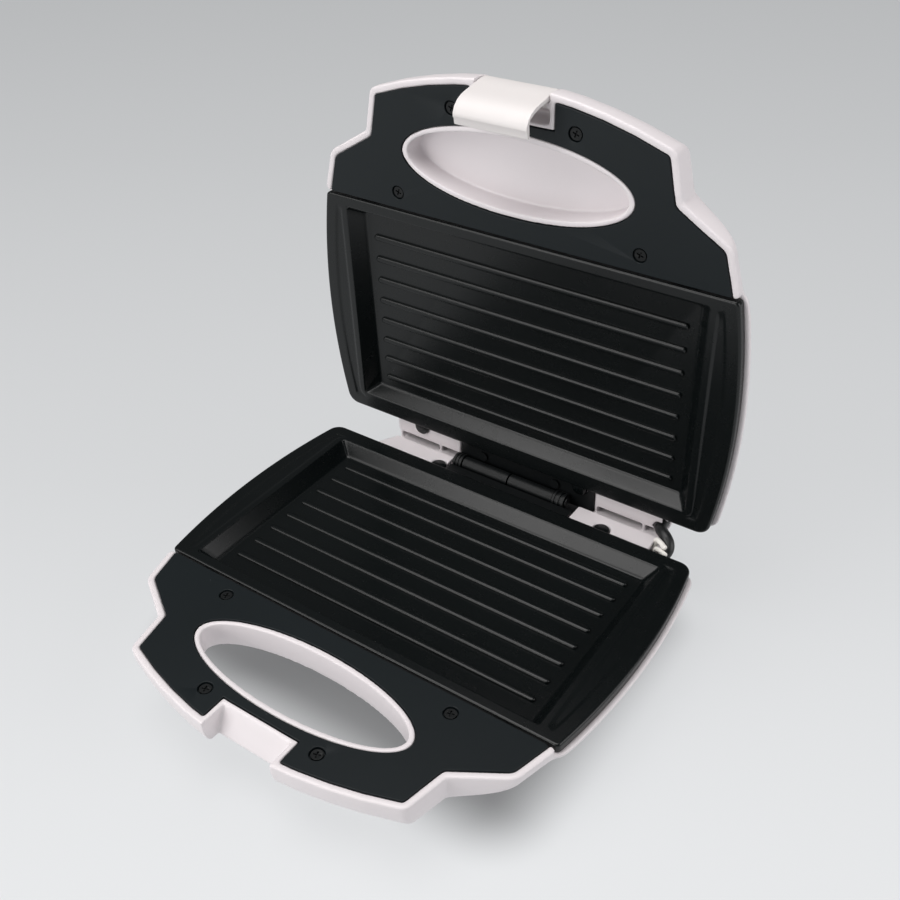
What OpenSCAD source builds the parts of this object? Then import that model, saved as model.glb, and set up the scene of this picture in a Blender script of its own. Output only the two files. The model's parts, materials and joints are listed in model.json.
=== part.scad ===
// Two-slice sandwich toaster: a base and a hinged lid, each a plastic shell with a
// ribbed non-stick plate, a trim panel round the handle, a tubular element and its
// reflector, and a latch flap that hooks under the base handle.
// Millimetres. +X runs along the hinge, -Y is the handle side, +Z is up.

/* [Body] */
// Half width across the grill plates at their widest point
half_w = 119.8; // [118:0.2:121]
// Radius of the bowed side edges seen from above
side_r = 346; // [330:2:360]
// Reach of the front edge of the trim panels
front_reach = 127.2; // [126.8:0.1:127.6]
// Depth of each shell below its parting plane
shell_h = 35; // [34:0.5:36]
// Wall thickness of the plastic shells
wall = 2.3; // [2:0.1:2.6]
// Gap between the two halves when the lid is shut
part_gap = 0.5; // [0.4:0.1:0.8]

/* [Handles] */
// Half length of the oval opening in each handle
oval_a = 62; // [60:0.5:63]
// Half width of the oval opening in each handle
oval_b = 20.5; // [19.5:0.5:21]
// Width of the raised white rim
lip_w = 3.4; // [3:0.1:3.8]
// Half width of the latch notch in the trim panels
notch_w = 22; // [21.5:0.1:22.5]

/* [Grill plates] */
// Number of ribs on each plate
rib_count = 8; // [6:1:9]
// Distance between neighbouring ribs
rib_pitch = 12.62; // [11.5:0.02:12.7]
// Half length of each rib
rib_half = 89.4; // [80:0.2:92]
// Height of the ribs above the tray floor
rib_h = 1.5; // [1:0.1:2]
// Depth of the tray below the rim
tray_h = 8; // [7:0.5:8.5]

/* [Motion] */
// Angle the lid stands open at, against its stop
open_angle = 88; // [60:1:88]
// Radius of the steel hinge pin
pin_r = 2; // [1.8:0.05:2.1]
// Radial running clearance of the turning joints
run_gap = 0.06; // [0.04:0.01:0.09]

/* [Feet] */
// Height of the rubber feet below the shell
foot_h = 5; // [4:0.5:6]

/* [Hidden] */

$fn = 48;
hy = 88.3;                       // hinge axis, along X
hz = -1.8;
pz = shell_h + foot_h;           // parting plane above the ground
ys = 1.67;                       // puts the open toaster's middle over the origin
ly = -124.6;                     // latch axis, along X
lz = 8;
gap = 0.3;                       // fitting gap between pieces of one half
trim_t = 2;                      // trim panel thickness
rim_h = 4.8;                     // height of the plate's outer skirt
handle_h = 14.1;                 // depth of the handle
flat_h = 2;                      // upright part of the handle's outer wall
foot_in = 4.2;                   // how far the front wall curves in
notch_back = -113.5;             // back edge of the notch in the trim
notch_in = 19.2;                 // half width of the notch in the shells
notch_wall = -115.8;             // front face of the wall behind the notch
yc = 10;                         // the plates are widest here
pf = -56;                        // front edge of the plates
pr = 77;                         // rear edge of the plates
ear_h = 4.4;                      // depth of the plate's screw ears
tray_x = 100.5;
tray_f = -50;
tray_b = 66.5;
wall_y = 4.3;                     // run of the sloping tray walls at front and rear
wall_x = 6.2;                     // and at the sides
oy = -88.5;                      // centre of the handle opening
land_l = [-78, -37.2];           // rear lands of the base, along X
land_r = [43, 89];
lland_l = [-79, -35.9];          // rear lands of the lid, along X
lland_r = [50, 89];
bump = [-82, 91.5];              // rear block that carries the hinge
tabs = [-41, 62];                // rear locating tabs of the base plate
trim_at = [[-66.1, -65.9], [66.1, -65.9], [-32.2, -114.3], [32.2, -114.3]];
ear_at = [[-88, -63.5], [88, -63.5]];
refl_at = [[-45, 8], [45, 8]];
gland_x = -60;
gland_h = 21;

// ---- plane geometry -------------------------------------------------------
function unit(v) = v / norm(v);
function side_x(y, d = 0) = half_w + d - side_r + sqrt(pow(side_r, 2) - pow(y - yc, 2));
function front_y(x) = -(front_reach - x * x / 410);
// points that replace vertex b of a polygon by an arc of radius r
function corner(a, b, c, r, n) =
  n == 0 ? [b] :
  let (u = unit(a - b), w = unit(c - b), ang = acos(u * w),
       cen = b + unit(u + w) * (r / sin(ang / 2)),
       p = b + u * (r / tan(ang / 2)) - cen, q = b + w * (r / tan(ang / 2)) - cen,
       f = 180 - ang)
  [for (i = [0:n]) cen + (p * sin(f * (1 - i / n)) + q * sin(f * i / n)) / sin(f)];
// polygon with vertices v, radii r and arc steps s
function rounded(v, r, s) = let (m = len(v))
  [for (i = [0:m - 1]) each corner(v[(i + m - 1) % m], v[i], v[(i + 1) % m], r[i], s[i])];
function out(a, b) = unit([b[1] - a[1], a[0] - b[0]]);
// counter-clockwise polygon v moved outwards by d
function grow(v, d) = let (m = len(v))
  [for (i = [0:m - 1]) let (n1 = out(v[(i + m - 1) % m], v[i]), n2 = out(v[i], v[(i + 1) % m]))
    v[i] + d * (n1 + n2) / (1 + n1 * n2)];
function flip(v) = [for (i = [len(v) - 1:-1:0]) [-v[i][0], v[i][1]]];
function back(v) = [for (i = [len(v) - 1:-1:0]) v[i]];
function mix(a, b, t) = [for (i = [0:len(a) - 1]) a[i] + (b[i] - a[i]) * t];
function ellipse(a, b, n = 72) = [for (i = [0:n - 1]) [a * cos(360 * i / n), oy + b * sin(360 * i / n)]];
// rounded box outline
function box2(x0, x1, y0, y1, r, s = 6) =
  rounded([[x0, y0], [x1, y0], [x1, y1], [x0, y1]], [r, r, r, r], [s, s, s, s]);

// outline of a grill plate, moved outwards by d
function plate_half(d) =
  let (rf = 2.5, rr = 7, r0 = side_r, c0 = [half_w - side_r, yc],
       cf = [c0[0] + sqrt(pow(r0 - rf, 2) - pow(pf + rf - yc, 2)), pf + rf],
       cr = [c0[0] + sqrt(pow(r0 - rr, 2) - pow(pr - rr - yc, 2)), pr - rr],
       af = atan2(cf[1] - yc, cf[0] - c0[0]), ar = atan2(cr[1] - yc, cr[0] - c0[0]))
  concat([for (i = [0:3]) cf + (rf + d) * [cos(-90 + (af + 90) * i / 4), sin(-90 + (af + 90) * i / 4)]],
         [for (i = [0:14]) c0 + (r0 + d) * [cos(af + (ar - af) * i / 14), sin(af + (ar - af) * i / 14)]],
         [for (i = [1:6]) cr + (rr + d) * [cos(ar + (90 - ar) * i / 6), sin(ar + (90 - ar) * i / 6)]]);
function plate_line(d = 0) = concat(plate_half(d), flip(plate_half(d)));

// vertices of the handle outline: arc along the front, two steps, rear at y0
function handle_v(y0) =
  let (r = [for (x = [15:15:60]) [x, front_y(x)]],
       k = [[75.7, front_y(75.7) + 0.1], [80.3, -91.9], [104.5, -77], [104.5 + (y0 + 77) * 0.28, y0]])
  concat(r, k, flip(concat(r, k)), [[0, front_y(0)]]);
// the same vertices at the foot of the handle wall
function foot_v(y0) =
  let (r = [for (x = [15:15:60]) [x * 0.97, front_y(x) + foot_in]],
       k = [[75.5, -108.6], [79.5, -92.4], [87, -84.5], [96, y0]])
  concat(r, k, flip(concat(r, k)), [[0, front_y(0) + foot_in]]);
function handle_s() = let (a = [0, 0, 0, 0, 4, 4, 6, 2]) concat(a, back(a), [0]);
function handle_r(d, t = 0) =
  let (a = [0, 0, 0, 0, max(0.6, 1.2 + d), max(0.6, 4 - d), max(0.6, 5 + d), max(0.5, 0.8 + d / 3)],
       b = [0, 0, 0, 0, 3, 3.2, 30, 1.5], m = a + (b - a) * t)
  concat(m, back(m), [0]);
function handle_line(y0, d = 0) = rounded(grow(handle_v(y0), d), handle_r(d), handle_s());
function handle_ring(y0, d, t) =
  rounded(grow(mix(handle_v(y0), foot_v(y0), t), d), handle_r(d, t), handle_s());
function wall_t(h) = h <= flat_h ? 0 : 1 - sqrt(max(0, 1 - pow((h - flat_h) / (handle_h - flat_h), 2)));

// vertices of the bowl under the plate, at its rim and at its floor
bowl_y = [-46, -30, -14, 2, 18, 34, 48, 60];
function bowl_v() = let (a = concat([[side_x(-60, 2.1), -60.2]], [for (y = bowl_y) [side_x(y, 2.7), y]],
                                    [[side_x(75, 2.7) + 0.2, 75.8]]))
  concat(a, flip(a));
function floor_v() = let (a = concat([[88, -35]], [for (y = bowl_y) [side_x(y, 0) - 25, 14 + (y - 14) * 0.8]], [[86, 73]]))
  concat(a, flip(a));
function bowl_r(t, d) = let (a = [10 + 8 * t + d, 0, 0, 0, 0, 0, 0, 0, 0, 8 + 10 * t + d]) concat(a, back(a));
function bowl_s() = let (a = [6, 0, 0, 0, 0, 0, 0, 0, 0, 6]) concat(a, back(a));
function bowl_ring(t, d = 0) = rounded(grow(mix(bowl_v(), floor_v(), t), d), bowl_r(t, d), bowl_s());
// depth below the rim against the way from rim to floor
bowl_prof = [[0, 0], [1.5, 0.01], [5, 0.075], [10, 0.185], [15, 0.315], [20, 0.475], [24, 0.63], [27.5, 0.8], [29.4, 0.93], [30, 1]];
dome_prof = [[31, 1.3], [31.6, 1.7]];
function bump_ring(y1, d) = box2(bump[0] + d, bump[1] - d, 50, y1 - d, 7 + d / 2, 6);

// solid through a stack of rings [z, points]
module loft(rings) {
  n = len(rings[0][1]);
  m = len(rings);
  polyhedron([for (r = rings) each [for (p = r[1]) [p[0], p[1], r[0]]]],
    concat([[for (i = [0:n - 1]) i]],
      [for (k = [0:m - 2]) each [for (i = [0:n - 1]) let (j = (i + 1) % n) each
        [[k * n + i, (k + 1) * n + i, (k + 1) * n + j], [k * n + i, (k + 1) * n + j, k * n + j]]]],
      [[for (i = [n - 1:-1:0]) (m - 1) * n + i]]));
}
// round wire of radius r along the points p
module wire(p, r, n = 8) {
  m = len(p);
  ref = unit([0.31, 0.52, 0.79]);
  t = [for (i = [0:m - 1]) unit(i == 0 ? p[1] - p[0] : i == m - 1 ? p[i] - p[i - 1] : unit(p[i + 1] - p[i]) + unit(p[i] - p[i - 1]))];
  pts = [for (i = [0:m - 1]) let (u = unit(cross(t[i], ref)), v = cross(t[i], u)) each
    [for (k = [0:n - 1]) p[i] + r * (u * cos(360 * k / n) + v * sin(360 * k / n))]];
  polyhedron(pts, concat([[for (k = [0:n - 1]) k]],
    [for (i = [0:m - 2]) each [for (k = [0:n - 1]) let (j = (k + 1) % n) each
      [[i * n + k, (i + 1) * n + k, (i + 1) * n + j], [i * n + k, (i + 1) * n + j, i * n + j]]]],
    [[for (k = [n - 1:-1:0]) (m - 1) * n + k]]));
}
module slab(pts, h0, h1) translate([0, 0, h0]) linear_extrude(h1 - h0) polygon(pts);
module box(x0, x1, y0, y1, z0, z1) translate([x0, y0, z0]) cube([x1 - x0, y1 - y0, z1 - z0]);
module rod(p, r, l, a = "z") translate(p) rotate(a == "x" ? [0, 90, 0] : a == "y" ? [-90, 0, 0] : [0, 0, 0]) cylinder(r = r, h = l);

// ---- placing --------------------------------------------------------------
// Each half is drawn with its depth h growing away from the parting plane.
module on_base() translate([0, ys, pz]) mirror([0, 0, 1]) children();
module base_up() translate([0, ys, pz]) children();
module lid_up() translate([0, ys + hy, pz + hz]) rotate([-open_angle, 0, 0]) translate([0, -hy, -hz]) children();
module on_lid() lid_up() translate([0, 0, part_gap]) children();

// ---- shared shapes --------------------------------------------------------
handle_h2 = [for (a = [30, 45, 58, 70, 80, 90]) flat_h + (handle_h - flat_h) * sin(a)];
module handle_body() {
  loft([for (h = [0, 0.4, flat_h, 5.4]) [h, handle_ring(-60.7, lip_w + gap - (h == 0 ? 0.4 : 0), wall_t(h))]]);
  loft([for (h = concat([5.1], handle_h2)) [h, handle_ring(-52, lip_w + gap, wall_t(h))]]);
}
module bowl_body(prof) loft([for (q = prof) [5 + q[0] * (shell_h - 5) / 30, bowl_ring(q[1], q[0] < 0.1 ? -0.4 : 0)]]);
module shell_outer(dome, y1) {
  handle_body();
  bowl_body(concat(bowl_prof, dome));
  loft([for (q = [[dome == [] ? 8.1 : 5, 0], [15, 0.6], [21, 2.2], [26, 5], [30, 9], [32.5, 13]]) [q[0], bump_ring(y1, q[1])]]);
}
module shell_inner(dome, y1) {
  f = (shell_h - 5) / 30;
  w = -wall * 1.15;
  i = lip_w + gap - wall * 1.2;
  difference() {
    loft([for (q = [[trim_t, -1.6], [3.6, -1.6], [5.4, i], [8, i - 0.1], [10.4, i - 0.3], [handle_h - wall, i - 0.6]])
      [q[0], handle_ring(-59.6, q[1], wall_t(q[0]))]]);
    slab(ellipse(oval_a - 0.4, oval_b - 0.4, 53), -1, 20);
  }
  slab(handle_line(-50, gap), -1, trim_t);
  loft(concat([[4, bowl_ring(0, -5.4)], [8, bowl_ring(0.02, -5)]],
    [for (q = [[5, 0.08], [10, 0.185], [15, 0.315], [20, 0.475], [24, 0.63]]) [5 + q[0] * f, bowl_ring(q[1], w)]],
    [[shell_h - wall, bowl_ring(0.8, -wall)]], dome == [] ? [] : [[shell_h - wall + 1, bowl_ring(1.25, -wall)]]));
  // passage for the leads between handle and bowl
  box(-80, 80, -62, -52, 8.2, handle_h - wall);
  // room inside the rear block
  difference() {
    loft([for (q = [[dome == [] ? 10.5 : 4, 2.3], [15, 2.9], [21, 4.6], [26, 7.5], [29.6, 11.5]]) [q[0], bump_ring(y1, q[1])]]);
    if (dome == []) box(-38.6, 44.6, 76, 100, 5, 14);
  }
}
// smooth hollow shell with its latch notch, evaluated as one piece
module shell(dome, y1) resize([0, 0, 0]) difference() {
  union() {
    difference() {
      shell_outer(dome, y1);
      shell_inner(dome, y1);
    }
    intersection() {
      handle_body();
      union() {
        // cheeks of the latch notch, and the wall behind it
        for (x = [-notch_w + gap, notch_in - 0.6]) box(x, x + notch_w - gap - notch_in + 0.6, -140, notch_back - gap, 0, handle_h);
        if (dome == []) translate([-notch_w + gap, 0, 0]) rotate([90, 0, 90]) linear_extrude(2 * (notch_w - gap))
          polygon([[notch_wall - 0.7, 0], [notch_wall + 2.1, 0], [notch_wall - 3.8, handle_h], [notch_wall - 7.1, handle_h]]);
        else box(-notch_w + gap, notch_w - gap, notch_wall - 0.6, notch_back - gap, 0, handle_h);
      }
    }
  }
  translate([-notch_in, 0, 0]) rotate([90, 0, 90]) linear_extrude(2 * notch_in)
    polygon(dome == [] ? [[notch_wall, -1], [notch_wall, 0], [notch_wall - 6.4, handle_h - 0.3], [notch_wall - 6.4, 30], [-140, 30], [-140, -1]]
                       : [[notch_wall, -1], [notch_wall, 10.4], [-119.2, 10.4], [-119.2, 30], [-140, 30], [-140, -1]]);
}
module boss(p, r, h0, h1, bore) difference() {
  rod([p[0], p[1], h0], r, h1 - h0);
  rod([p[0], p[1], h0 - 1], bore, min(9, h1 - h0) + 0.2);
}

module trim_panel() difference() {
  union() {
    slab(handle_line(-57.4), 0, trim_t);
    for (p = trim_at) rod([p[0], p[1], 1], 4.4, 2.2);
  }
  slab(ellipse(oval_a + gap, oval_b + gap), -1, 5);
  box(-notch_w, notch_w, -135, notch_back, -1, 5);
  for (p = trim_at) {
    rod([p[0], p[1], -1], 3.5, 2.9);
    rod([p[0], p[1], -1], 1.7, 6);
  }
}
module trim_screws() for (p = trim_at) difference() {
  union() {
    rod([p[0], p[1], 0.5], 2.8, 1.3);
    rod([p[0], p[1], 1.7], 1.4, 8.3);
  }
  for (a = [0, 90]) translate([p[0], p[1], 0.9]) rotate([0, 0, a + 20]) cube([3.4, 0.7, 1], center = true);
}
module grill_plate(side) {
  difference() {
    union() {
      difference() {
        slab(plate_line(), 0, rim_h);
        slab(plate_line(-2.3), 2.6, rim_h + 1);
      }
      slab(box2(-tray_x - 3, tray_x + 3, tray_f - 3, tray_b + 3, 8), 1, tray_h + 3);
      for (x = tabs) {
        rod([side * x, 78.2, 0.7], 4.2, 2.3);
        box(side * x - 4.2, side * x + 4.2, 75, 78.2, 0.7, 3);
      }
      for (p = ear_at) {
        rod([p[0], p[1], ear_h], 5, 2);
        box(p[0] - 5, p[0] + 5, p[1], tray_f - 2, ear_h, ear_h + 2);
      }
      for (p = refl_at) rod([p[0], p[1], tray_h + 2], 4.5, 8.3);
    }
    slab(box2(-tray_x, tray_x, tray_f, tray_b, 3), -1, tray_h);
    for (p = ear_at) rod([p[0], p[1], 0], 2, 8);
    for (p = refl_at) rod([p[0], p[1], tray_h + 4.5], 1.85, 8);
  }
  // sloping walls of the tray
  for (w = [[tray_f, 1], [tray_b, -1]]) translate([-tray_x - 0.6, w[0], 0]) rotate([90, 0, 90])
    linear_extrude(2 * tray_x + 1.2) polygon([[-0.6 * w[1], 0.6], [0, 0.6], [wall_y * w[1], tray_h + 0.6], [-0.6 * w[1], tray_h + 0.6]]);
  for (s = [-1, 1]) translate([s * tray_x, tray_b + 0.6, 0]) rotate([90, 0, 0])
    linear_extrude(tray_b - tray_f + 1.2) polygon([[0.6 * s, 0.6], [0, 0.6], [-wall_x * s, tray_h + 0.6], [0.6 * s, tray_h + 0.6]]);
  for (i = [0:rib_count - 1]) let (y = (side > 0 ? -34.15 : -32.75) + i * rib_pitch)
    translate([0, y, tray_h - rib_h]) linear_extrude(rib_h + 0.5) {
      square([2 * rib_half - 3, 3], center = true);
      for (s = [-1, 1]) translate([s * (rib_half - 1.5), 0]) circle(r = 1.5);
    }
}
module plate_screws() for (p = ear_at) difference() {
  union() {
    rod([p[0], p[1], ear_h - 1.8], 3.2, 1.75);
    rod([p[0], p[1], ear_h - 0.1], 1.45, 7.5);
  }
  for (a = [0, 90]) translate([p[0], p[1], ear_h - 1.7]) rotate([0, 0, a + 30]) cube([3.6, 0.7, 1], center = true);
}
module element() {
  for (y = [-26, 42]) rod([-82, y, tray_h + 6.4], 3.2, 158, "x");
  rod([76, -26, tray_h + 6.4], 3.2, 68, "y");
  for (y = [-26, 42]) translate([76, y, tray_h + 6.4]) sphere(r = 3.2);
}
module element_terminals() for (y = [-26, 42]) {
  rod([-100, y, tray_h + 6.4], 2.6, 17.95, "x");
  box(-106, -99.9, y - 2.4, y + 2.4, tray_h + 6, tray_h + 6.8);
}
module reflector() difference() {
  box(-97, 92, -44, 60, 12.2, 19);
  box(-96.4, 91.4, -43.4, 59.4, 11, 18.4);
  for (y = [-26, 42]) box(-99, -90, y - 4, y + 4, 11, 18.4);
  for (p = refl_at) rod([p[0], p[1], 17], 2.1, 4);
}
module reflector_screws() for (p = refl_at) {
  rod([p[0], p[1], 19.05], 3.8, 2.2);
  rod([p[0], p[1], 13.5], 1.8, 5.7);
}

// ---- base -----------------------------------------------------------------
module base_housing() color("white") difference() {
  union() {
    on_base() difference() {
      union() {
        shell([], 98);
        // tube of the oval opening, cross wall under the trim, screw bosses
        slab(ellipse(oval_a, oval_b), 0.1, handle_h);
        box(-106, 106, -60.6, -58.4, trim_t + 0.1, 8.4);
        for (p = trim_at) boss(p, 4, 3.3, handle_h - 1, 1.5);
        for (p = ear_at) boss(p, 4.6, ear_h + 2.1, handle_h - 1, 1.5);
      }
      slab(ellipse(oval_a - 3, oval_b - 3), -1, 20);
      for (p = ear_at) {
        box(p[0] - 5.5, p[0] + 5.5, -61.5, -50, ear_h - 0.4, ear_h + 2.1);
        rod([p[0], p[1], 2.4], 5.5, ear_h - 0.3);
      }
      // room for the hinge behind the plate
      box(bump[0] - 8, bump[1] + 8, pr + 0.5, 103, -1, 5.2);
      box(bump[0] - 8, bump[1] + 8, 84.5, 103, -1, 8.1);
      box(-36.2, 42.2, pr + 0.5, 103, 4, 11.6);
      // opening for the leads
      box(86, 94, 77, 88, 4.9, 13);
    }
    base_up() {
      // lands in front of the hinge axis, with their rounded rear edge
      for (l = [land_l, land_r]) {
        box(l[0], l[1], pr + 0.6, 88.1, -3.3, -0.9);
        rod([l[0], 88.1, -2.1], 1.2, l[1] - l[0], "x");
        box(l[0], min(l[1], 84), 82, 84.5, -9, -2);
      }
      translate([0, 0, -3.3]) linear_extrude(2.4) polygon([[land_l[0], 87.6], [land_l[0] - 5.5, pr + 0.6], [land_l[0], pr + 0.6]]);
      // stop pads for the lid
      for (x = [-62, 62]) box(x - 8, x + 8, 92.5, 96.5, -8.6, -7.6);
      // bosses under the hinge bracket
      for (x = [-24, 30]) boss_down(x, 93.5, -11.6);
      // collar of the cord gland
      rod([gland_x, 84, -gland_h], 9.5, 14.6, "y");
      // posts of the terminal block
      for (x = [-22, 22]) rod([x - 5, 44, -shell_h + 1], 3, 5);
    }
  }
  base_up() {
    // seats of the plate's rear tabs
    for (x = tabs) rod([x, 78.2, -3.4], 4.7, 5);
    rod([gland_x, 70, -gland_h], 6.6, 32, "y");
    for (x = [-24, 30]) rod([x, 93.5, -19.5], 1.5, 9);
    // vents in the floor
    for (i = [-4:4]) box(i * 14 - 2, i * 14 + 2, -10, 24, -shell_h - 1, -shell_h + wall + 1);
    // seats of the rubber feet
    for (p = feet_at) {
      rod([p[0], p[1], -shell_h - 0.5], 8.3, 1.5);
      rod([p[0], p[1], -shell_h - 0.5], 2.6, 6);
    }
  }
}
module boss_down(x, y, z1) rod([x, y, -23], 4, z1 + 23);
feet_at = [[-76, -20], [76, -20], [-70, 60], [70, 60]];

module base_trim_panel() color([0.13, 0.15, 0.16]) on_base() trim_panel();
module base_grill_plate() color([0.06, 0.07, 0.07]) on_base() grill_plate(1);
module base_heating_element() color([0.35, 0.34, 0.33]) on_base() element();
module base_element_terminals() color([0.9, 0.88, 0.82]) on_base() element_terminals();
module base_heat_reflector() color([0.75, 0.76, 0.78]) on_base() reflector();
module base_reflector_screws() color([0.6, 0.6, 0.62]) on_base() reflector_screws();
module base_plate_screws() color([0.6, 0.6, 0.62]) on_base() plate_screws();
module base_trim_screws() color([0.08, 0.08, 0.08]) on_base() trim_screws();
module base_hinge_bracket() color([0.05, 0.05, 0.06]) base_up() difference() {
  union() {
    box(-35.6, 41.6, pr + 0.8, 97.5, -11.5, -9.5);
    box(-35.6, 41.6, pr + 0.8, 83, -3.2, -1.3);
    box(-35.6, 41.6, 80.6, 82.6, -10, -2);
    for (x = [[-29.5, -0.5], [0.5, 28]]) {
      rod([x[0], hy, hz], 3.9, x[1] - x[0], "x");
      box(x[0], x[1], hy - 2, hy + 2, -10, hz);
    }
  }
  rod([-40, hy, hz], pin_r + 0.01, 90, "x");
  for (x = [-24, 30]) rod([x, 93.5, -12], 1.7, 4);
  rod([tabs[0], 78.2, -8], 4.9, 12);
}
module base_hinge_screws() color([0.1, 0.1, 0.1]) base_up() for (x = [-24, 30]) {
  rod([x, 93.5, -9.45], 2.8, 1.4);
  rod([x, 93.5, -19], 1.4, 9.7);
}
module hinge_pin() color([0.2, 0.2, 0.21]) base_up() {
  rod([-36.5, hy, hz], pin_r, 73, "x");
  for (x = [-36.4, 35.6]) rod([x, hy, hz], 3, 0.8, "x");
}
module rubber_feet() color([0.12, 0.12, 0.12]) base_up() for (p = feet_at) {
  rod([p[0], p[1], -shell_h - foot_h], 8, foot_h + 0.95);
  rod([p[0], p[1], -shell_h - 0.5], 2.5, 5);
}
module thermostat() color([0.8, 0.74, 0.62]) base_up() {
  rod([16, 8, -27.2], 8.5, 8.1);
  box(5, 27, 5.5, 10.5, -19.9, -19.1);
  for (x = [9, 21.6]) box(x, x + 1, 6, 10, -31, -27);
}
module thermal_fuse() color([0.9, 0.9, 0.86]) base_up() {
  rod([-38, 28, -22.4], 2.4, 16, "x");
  rod([-44, 28, -22.4], 0.7, 28, "x");
}
module terminal_block() color([0.93, 0.92, 0.88]) base_up() difference() {
  box(-33, 23, 38, 50, -28.9, -19.5);
  for (i = [0:3]) {
    rod([-26 + i * 14, 44, -24], 2, 6);
    rod([-26 + i * 14, 37, -25.5], 1.7, 14, "y");
  }
}
module cord_gland() color([0.86, 0.85, 0.84]) base_up() difference() {
  union() {
    rod([gland_x, 85, -gland_h], 6.5, 14, "y");
    rod([gland_x, 98.7, -gland_h], 8.6, 1.5, "y");
  }
  rod([gland_x, 80, -gland_h], 3.7, 30, "y");
}
module base_wiring() color([0.85, 0.82, 0.74]) base_up() {
  wire([[-12, 36.6, -25.5], [-12, 34, -26.5], [-6, 28, -28.5], [4, 20, -30], [9.5, 12, -29.5]], 1.3);
  wire([[2, 36.6, -25.5], [3, 34, -27], [-2, 31.5, -28.5], [-18, 29, -26], [-20, 28.6, -24.2]], 1.3);
  wire([[16, 51.4, -25.5], [20, 56, -25], [50, 60, -23], [74, 64, -20], [83, 70, -17], [87, 77, -15]], 1.3);
  wire([[-107.3, -26, -14.4], [-108.5, -24, -15.5], [-106, -10, -18], [-99, 8, -21.5], [-84, 28, -25], [-56, 42, -29], [-36, 44, -27]], 1.3);
}

// ---- lid ------------------------------------------------------------------
module lid_housing() color("white") difference() {
  union() {
    on_lid() difference() {
      union() {
        shell(dome_prof, 94);
        difference() {
          slab(ellipse(oval_a, oval_b), 0.1, handle_h - 1);
          slab(ellipse(oval_a - 3, oval_b - 3), -1, handle_h - wall);
        }
        box(-106, 106, -60.6, -58.4, trim_t + 0.1, 8.4);
        for (p = trim_at) boss(p, 4, 3.3, handle_h - 1, 1.5);
        for (p = ear_at) boss(p, 4.6, ear_h + 2.1, handle_h - 1, 1.5);
        // post of the lamp holder
        rod([0, -14, 29.9], 3, 4);
      }
      slab(ellipse(oval_a - 3, oval_b - 3), -1, handle_h - wall);
      for (p = ear_at) {
        box(p[0] - 5.5, p[0] + 5.5, -61.5, -50, ear_h - 0.4, ear_h + 2.1);
        rod([p[0], p[1], 2.4], 5.5, ear_h - 0.3);
      }
      box(bump[0] - 8, bump[1] + 8, pr + 0.5, 99, -1, 4.6);
      // seats of the lamps
      for (x = [-10, 10]) rod([x, -14, shell_h - 6], 3.6, 12);
    }
    lid_up() {
      // stop ribs behind the flap
      for (x = [-notch_in - 0.5, notch_in - 2]) box(x, x + 2.5, -125.7, -122.6, 0.8, 2.6);
      // rear lands with the cove that turns round the base lands
      for (l = [lland_l, lland_r]) difference() {
        box(l[0], l[1], pr + 0.6, 94, -3.5, 6);
        rod([l[0] - 1, hy, hz], 3.5, l[1] - l[0] + 2, "x");
        box(l[0] - 1, l[1] + 1, pr - 1, hy, -6, 3);
        box(l[0] - 1, l[1] + 1, pr - 1, 91.6, 4, 8);
        box(l[0] - 1, l[1] + 1, 87.6, 91.6, -1, 8);
      }
      for (l = [lland_l, lland_r], x = [l[0], l[0] + 28]) box(x, x + 1.6, pr + 0.7, 92.5, 3.1, 8);
      // bridge over the hinge bracket
      box(-36, 50.2, 92.4, 94, 4.8, 9);
      box(-36, 50.2, pr + 1, 93, 4.8, 7);
      for (x = [-20, 26]) rod([x, 82, 4.8], 4, 8);
    }
  }
  lid_up() {
    rod([-notch_w - 0.2, ly, lz], 1.52, 2 * notch_w + 0.4, "x");
    for (x = tabs) rod([-x, 78.2, -2], 4.7, 5.9);
    // opening for the leads
    rod([87.4, 85.2, 0.5], 3.2, 9);
    box(87.4, 94, 82, 88.4, 0.5, 9.5);
    for (x = [-20, 26]) rod([x, 82, 4], 1.5, 8);
  }
}
module lid_trim_panel() color([0.11, 0.13, 0.14]) on_lid() trim_panel();
module lid_grill_plate() color([0.06, 0.07, 0.07]) on_lid() grill_plate(-1);
module lid_heating_element() color([0.35, 0.34, 0.33]) on_lid() element();
module lid_element_terminals() color([0.9, 0.88, 0.82]) on_lid() element_terminals();
module lid_heat_reflector() color([0.75, 0.76, 0.78]) on_lid() reflector();
module lid_reflector_screws() color([0.6, 0.6, 0.62]) on_lid() reflector_screws();
module lid_plate_screws() color([0.6, 0.6, 0.62]) on_lid() plate_screws();
module lid_trim_screws() color([0.08, 0.08, 0.08]) on_lid() trim_screws();
module lid_hinge_bracket() color([0.05, 0.05, 0.06]) lid_up() difference() {
  union() {
    box(-35, 49.4, pr + 1, 92.2, 2.7, 4.7);
    for (x = [[-35.4, -30.1], [28.6, 35.4]]) {
      rod([x[0], hy, hz], 4.1, x[1] - x[0], "x");
      for (i = [0:2]) rod([x[0] + i * (x[1] - x[0] - 1.3) / 2, hy, hz], 4.7, 1.3, "x");
      box(max(x[0], -35), x[1], hy - 2.5, hy + 3.2, hz + 2.6, 4);
    }
  }
  rod([-40, hy, hz], pin_r + run_gap, 90, "x");
  for (x = [-20, 26]) rod([x, 82, 2], 1.7, 4);
  rod([-tabs[0], 78.2, 0], 4.9, 8);
}
module lid_hinge_screws() color([0.1, 0.1, 0.1]) lid_up() for (x = [-20, 26]) {
  rod([x, 82, 1.4], 2.8, 1.25);
  rod([x, 82, 2.6], 1.4, 8.6);
}
module lens(x) rod([x, -14, shell_h - wall - 1.5], 3.4, 6.2);
module power_lamp_lens() color([0.85, 0.12, 0.08, 0.8]) on_lid() lens(-10);
module ready_lamp_lens() color([0.15, 0.7, 0.2, 0.8]) on_lid() lens(10);
module neon_lamps() color([0.95, 0.75, 0.6]) on_lid() for (x = [-10, 10]) rod([x, -14, 22.6], 2.2, 7.6);
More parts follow.
